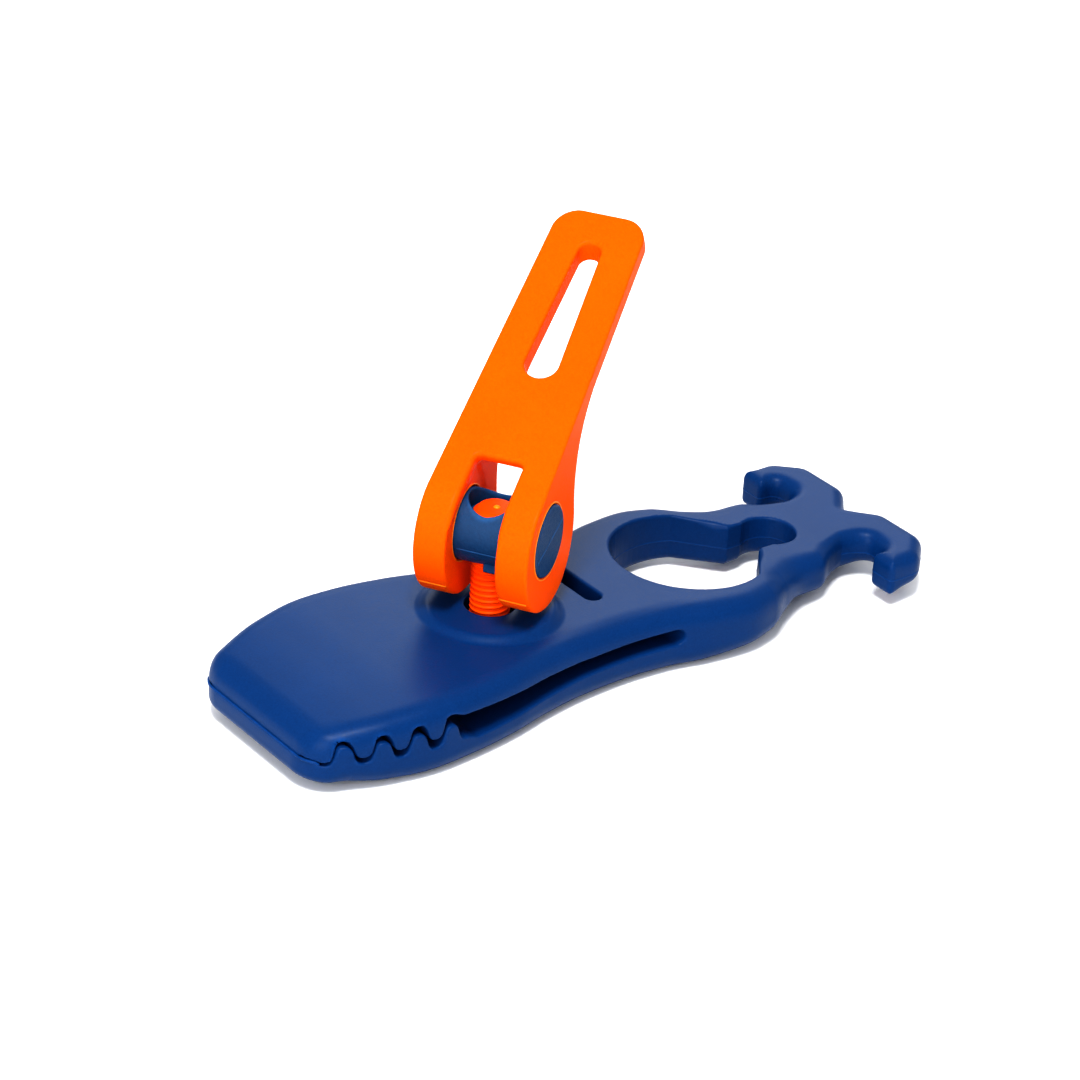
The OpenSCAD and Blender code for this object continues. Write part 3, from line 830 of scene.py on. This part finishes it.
class TARPCLIP_OT_lever(bpy.types.Operator):
    """Builds the cam lever with its fork and handle slot"""

    bl_idname = "tarpclip.lever"
    bl_label = "Cam lever"

    def execute(self, context):
        settings = context.scene.tarp_clip
        s = in_mm(settings.lever)
        barrel_play = 0.05
        barrel_r = settings.turning.barrel_d / MM / 2 + barrel_play
        finish = orange_plastic(settings.finishes)
        place = lever_place(s.lean, s.side_play)
        shape = lever_shape(s, barrel_r)
        low_z = s.front_w - 2 * s.cam_r
        low = (s.cam_fore - s.cam_r, -s.lever_w / 2, low_z)
        high = (s.lever_l, s.lever_w / 2, s.front_w)
        step = (0.42, 0.42, 0.36)
        lever = shaped_piece("cam_lever", shape, low, high, step, finish, place)
        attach(lever, "lever")
        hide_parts("lever")
        self.add_lines(s, shape, barrel_r, flash_plastic(settings.finishes), place)
        return {"FINISHED"}

    def add_lines(self, s, shape, barrel_r, finish, place):
        """Thin flash along the foot of each cheek and round the barrel's holes."""
        inner, outer = s.fork_w / 2, s.lever_w / 2
        turns = np.linspace(0, 2 * math.pi, 72, endpoint=False)
        rim_off, foot_in, foot_out = 0.4, 0.6, 0.7
        ring = barrel_r + rim_off
        foot_x, foot_z = s.cam_fore - s.cam_r, -4
        foot_y = np.linspace(inner + foot_in, outer - foot_out, 10)
        for side, sign in (("left", 1), ("right", -1)):
            foot = [(foot_x, sign * y, foot_z) for y in foot_y]
            paths = [("line_cheek_" + side, foot, 0.5, 0.14, False)]
            for face, y in (("inner", inner), ("outer", outer)):
                rim = [(ring * math.cos(a), sign * y, ring * math.sin(a)) for a in turns]
                paths.append((f"line_hole_{face}_{side}", rim, 0.3, 0.08, True))
            for name, path, width, height, closed in paths:
                strip = flash_strip(name, shape, path, width, height, closed, finish, place)
                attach(strip, "lever")


# The barrel lies with X along the lever's heading, Y along its own axis and Z up the stud.


def barrel_place():
    """Where the barrel's own frame stands at rest."""
    across = -CAM_AXIS / np.linalg.norm(CAM_AXIS)
    heading = np.cross(across, (0, 0, 1))
    turn = Matrix(np.column_stack((heading, across, (0, 0, 1))).tolist())
    return Matrix.Translation(Vector(PIVOT)) @ turn.to_4x4()


def barrel_shape(s, barrel_l):
    """The cross barrel with the stud's hole, its recessed mouth and a small gate tab."""
    tab_x, tab_y, tab_z = -4.75, -1.5, -6.0
    tab_l, tab_w, tab_h = 0.55, 1.3, 1.0
    mouth_h, end_edge, bore_edge = 1.5, 0.35, 0.3

    def shape(x, y, z):
        solid = round_max(np.hypot(x, z) - s.barrel_d / 2, np.abs(y) - barrel_l / 2, end_edge)
        tab = np.maximum(np.abs(x - tab_x) - tab_l, np.abs(y - tab_y) - tab_w)
        solid = np.minimum(solid, np.maximum(tab, np.abs(z - tab_z) - tab_h))
        axis = np.hypot(x, y)
        solid = round_max(solid, -(axis - s.barrel_bore), bore_edge)
        mouth = np.maximum(axis - s.barrel_mouth, s.stud_over - mouth_h - z)
        return round_max(solid, -mouth, end_edge)

    return shape


class TARPCLIP_OT_barrel(bpy.types.Operator):
    """Builds the cross barrel that the lever turns on"""

    bl_idname = "tarpclip.barrel"
    bl_label = "Cross barrel"

    def execute(self, context):
        settings = context.scene.tarp_clip
        s = in_mm(settings.turning)
        barrel_l = settings.lever.lever_w / MM
        finish = slate_plastic(settings.finishes)
        place = barrel_place()
        shape = barrel_shape(s, barrel_l)
        r = s.barrel_d / 2
        tab_room, step = 1.5, (0.3, 0.3, 0.3)
        low, high = (-r, -barrel_l / 2, -r - tab_room), (r, barrel_l / 2, r)
        barrel = shaped_piece("cross_barrel", shape, low, high, step, finish, place)
        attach(barrel, "barrel")
        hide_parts("barrel")
        self.add_lines(shape, r, barrel_l / 2, finish, place)
        return {"FINISHED"}

    def add_lines(self, shape, r, end_y, finish, place):
        """Thin lines where the mould's halves met: along the barrel and across both its ends."""
        lean, reach, inset = 0.3, 4.9, 0.7
        along_x, along_z = math.cos(lean), math.sin(lean)
        paths = {"line_barrel": [(-r * along_x, y, -r * along_z) for y in np.linspace(-reach, reach, 16)]}
        for side, sign in (("left", 1), ("right", -1)):
            across = np.linspace(inset - r, r - inset, 24)
            paths["line_barrel_" + side] = [(t * along_x, sign * end_y, t * along_z) for t in across]
        for name, path in paths.items():
            strip = flash_strip(name, shape, path, 0.35, 0.08, False, finish, place)
            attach(strip, "barrel")


def stud_shape(s, top):
    """The stud: a flat head, a plain shank and a round-crested thread."""
    shank, slack = 8.5, 0.8
    end_edge, head_corner, head_edge = 0.5, 1.2, 0.4

    def shape(x, y, z):
        turn = np.arctan2(y, x)
        wave = np.cos(2 * math.pi * z / s.thread_pitch - turn)
        depth = s.thread_h / 2 * ease(0, 1, (z - shank) / s.thread_pitch)
        rod = (np.hypot(x, y) - s.stud_d / 2 + depth * (1 - wave)) * slack
        rod = np.maximum(round_max(rod, z - top, end_edge), s.head_z + s.head_t / 2 - z)
        head = round_max(np.abs(x) - s.head_l / 2, np.abs(y) - s.head_w / 2, head_corner)
        head = round_max(head, np.abs(z - s.head_z - s.head_t / 2) - s.head_t / 2, head_edge)
        return round_min(rod, head, head_edge)

    return shape


class TARPCLIP_OT_stud(bpy.types.Operator):
    """Builds the threaded stud"""

    bl_idname = "tarpclip.stud"
    bl_label = "Threaded stud"

    def execute(self, context):
        settings = context.scene.tarp_clip
        s = in_mm(settings.turning)
        finish = stud_plastic(settings.finishes)
        top = PIVOT[2] + s.stud_over
        shape = stud_shape(s, top)
        place = Matrix.Translation((STUD_X, 0, 0))
        low = (-s.head_l / 2, -s.head_w / 2, s.head_z)
        high = (s.head_l / 2, s.head_w / 2, top + 0.4)
        step = (0.3, 0.3, 0.16)
        stud = shaped_piece("threaded_stud", shape, low, high, step, finish, place)
        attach(stud, "stud")
        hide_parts("stud")
        self.add_gate(top, flash_plastic(settings.finishes), place)
        return {"FINISHED"}

    def add_gate(self, top, finish, place):
        """The small round mark on the stud's end where the plastic came in."""
        r, step = 0.85, (0.15, 0.15, 0.15)
        middle = np.array((0.4, -0.3, top - 0.5))

        def shape(x, y, z):
            return np.sqrt((x - middle[0]) ** 2 + (y - middle[1]) ** 2 + (z - middle[2]) ** 2) - r

        gate = shaped_piece("stud_gate", shape, middle - r, middle + r, step, finish, place)
        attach(gate, "stud")


# The edge colours below are painted highlights: lighter tints laid on convex edges and raised lines.
def blue_plastic(f):
    """Grained satin blue of the moulding."""
    return plastic(
        "moulding_blue", f.blue, f.satin,
        grain=2600, grain_depth=0.045, edge_highlight_colour=shade(f.blue, 1.8), specular=0.11,
    )


def slate_plastic(f):
    """Papery slate blue of the barrel."""
    return plastic(
        "barrel_slate", f.slate, f.satin + 0.06,
        grain=1900, grain_depth=0.13, edge_highlight_colour=shade(f.slate, 2.6), specular=0.2,
    )


def orange_plastic(f):
    """Satin orange of the lever."""
    return plastic(
        "lever_orange", f.orange, f.lever_satin,
        grain=2200, grain_depth=0.015, edge_highlight_colour=(1.0, 0.17, 0.002), specular=0.03,
    )


def flash_plastic(f):
    """Paler orange of the thin moulding lines."""
    return plastic(
        "flash_orange", f.flash, f.lever_satin,
        grain=2400, grain_depth=0.01, edge_highlight_colour=shade(f.flash, 1.2), specular=0.15,
    )


def stud_plastic(f):
    """Redder orange of the stud."""
    return plastic(
        "stud_orange", f.stud_orange, f.lever_satin,
        grain=2400, grain_depth=0.01, edge_highlight_colour=(1.0, 0.1, 0.002), specular=0.05,
    )


# Stage: the camera looks from the lip's near side, with the optical axis a little off the middle.

CAMERA_AIM = (STUD_X, 0.0, 15.7)
CAMERA_AZIMUTH, CAMERA_HEIGHT, CAMERA_ROLL = -37.72, 29.97, 2.66
CAMERA_AWAY = 742.94
IMAGE_SIDE = 1080.0
PIXELS_PER_MM = 5.09
AXIS_PIXEL = (489.83, 604.26)
SKY_STRENGTH = 0.58
LIGHT_AIM = (STUD_X * MM, 0, 0.015)
LIGHTS = (
    ("key", (-0.28, -0.27, 0.93), 0.24, 8.0),
    ("front", (-0.88, -0.45, 0.45), 0.6, 4.6),
    ("back", (0.85, 1.1, 0.8), 0.8, 5.0),
)


def add_camera():
    """The camera at the photograph's place."""
    turn, rise, roll = (math.radians(a) for a in (CAMERA_AZIMUTH, CAMERA_HEIGHT, CAMERA_ROLL))
    back = Vector((math.sin(turn) * math.cos(rise), -math.cos(turn) * math.cos(rise), math.sin(rise)))
    right = Vector((math.cos(turn), math.sin(turn), 0))
    up = back.cross(right)
    level = math.cos(roll) * right + math.sin(roll) * up
    upright = math.cos(roll) * up - math.sin(roll) * right
    data = bpy.data.cameras.new("camera")
    data.sensor_width = 36
    data.lens = PIXELS_PER_MM * CAMERA_AWAY / IMAGE_SIDE * data.sensor_width
    data.shift_x = 0.5 - AXIS_PIXEL[0] / IMAGE_SIDE
    data.shift_y = AXIS_PIXEL[1] / IMAGE_SIDE - 0.5
    data.clip_start, data.clip_end = 0.01, 50
    camera = bpy.data.objects.new("camera", data)
    camera.matrix_world = Matrix((level, upright, back)).transposed().to_4x4()
    camera.location = (Vector(CAMERA_AIM) + back * CAMERA_AWAY) * MM
    bpy.context.scene.collection.objects.link(camera)
    bpy.context.scene.camera = camera


def add_floor(base):
    """A wide pale floor with a faint unevenness."""
    material = bpy.data.materials.new("floor_pale")
    material.use_nodes = True
    tree = material.node_tree
    shader = tree.nodes["Principled BSDF"]
    faint = tint(tree, span(tree, noise(tree, 6, 2), 0, 1), shade(base, 0.985), shade(base, 1.0))
    tree.links.new(faint, shader.inputs["Base Color"])
    shader.inputs["Roughness"].default_value = 0.9
    shader.inputs["Specular IOR Level"].default_value = 0.1
    half, gap = 6.0, 0.0002
    level = CAD_BOX[0].z - gap
    mesh = bpy.data.meshes.new("floor")
    corners = [(-half, -half, level), (half, -half, level), (half, half, level), (-half, half, level)]
    mesh.from_pydata(corners, [], [(0, 1, 2, 3)])
    mesh.materials.append(material)
    floor = bpy.data.objects.new("floor", mesh)
    bpy.context.scene.collection.objects.link(floor)


def add_light(name, place, aim, side, power):
    """A square soft light at a place in metres, turned to an aim."""
    data = bpy.data.lights.new(name, "AREA")
    data.shape = "SQUARE"
    data.size = side
    data.energy = power
    light = bpy.data.objects.new(name, data)
    light.location = place
    light.rotation_euler = (Vector(aim) - Vector(place)).to_track_quat("-Z", "Y").to_euler()
    bpy.context.scene.collection.objects.link(light)


class TARPCLIP_OT_stage(bpy.types.Operator):
    """Sets the floor, the soft lights and the camera"""

    bl_idname = "tarpclip.stage"
    bl_label = "Stage"

    def execute(self, context):
        add_floor(list(context.scene.tarp_clip.finishes.floor))
        add_camera()
        world = bpy.data.worlds.new("studio")
        world.use_nodes = True
        sky = world.node_tree.nodes["Background"]
        sky.inputs["Color"].default_value = (1, 1, 1, 1)
        sky.inputs["Strength"].default_value = SKY_STRENGTH
        context.scene.world = world
        context.scene.view_settings.view_transform = "Standard"
        context.scene.view_settings.look = "High Contrast"
        for name, place, side, power in LIGHTS:
            add_light(name, place, LIGHT_AIM, side, power)
        return {"FINISHED"}


class TARPCLIP_PT_panel(bpy.types.Panel):
    """Lists the clip's pieces and settings"""

    bl_idname = "TARPCLIP_PT_panel"
    bl_label = "Tarp clip"
    bl_space_type = "VIEW_3D"
    bl_region_type = "UI"
    bl_category = "Tarp clip"

    def draw(self, context):
        layout = self.layout
        for operator in OPERATORS:
            layout.operator(operator.bl_idname)
        settings = context.scene.tarp_clip
        for group in (settings.moulding, settings.lever, settings.turning, settings.finishes):
            box = layout.box()
            for prop in group.bl_rna.properties:
                if prop.identifier not in ("rna_type", "name"):
                    box.prop(group, prop.identifier)


OPERATORS = (
    TARPCLIP_OT_stage, TARPCLIP_OT_moulding, TARPCLIP_OT_stud, TARPCLIP_OT_barrel, TARPCLIP_OT_lever,
)
CLASSES = (
    MouldingSizes, LeverSizes, TurningSizes, Finishes, ClipSettings, *OPERATORS, TARPCLIP_PT_panel,
)


def register():
    """Makes the settings, the operators and the panel known."""
    for cls in CLASSES:
        bpy.utils.register_class(cls)
    bpy.types.Scene.tarp_clip = bpy.props.PointerProperty(type=ClipSettings)


def unregister():
    """Takes them away again."""
    del bpy.types.Scene.tarp_clip
    for cls in reversed(CLASSES):
        bpy.utils.unregister_class(cls)


def main():
    """Builds the clip."""
    register()
    bpy.ops.tarpclip.stage()
    bpy.ops.tarpclip.moulding()
    bpy.ops.tarpclip.stud()
    bpy.ops.tarpclip.barrel()
    bpy.ops.tarpclip.lever()
    bpy.context.view_layer.update()


if __name__ == "__main__":
    main()
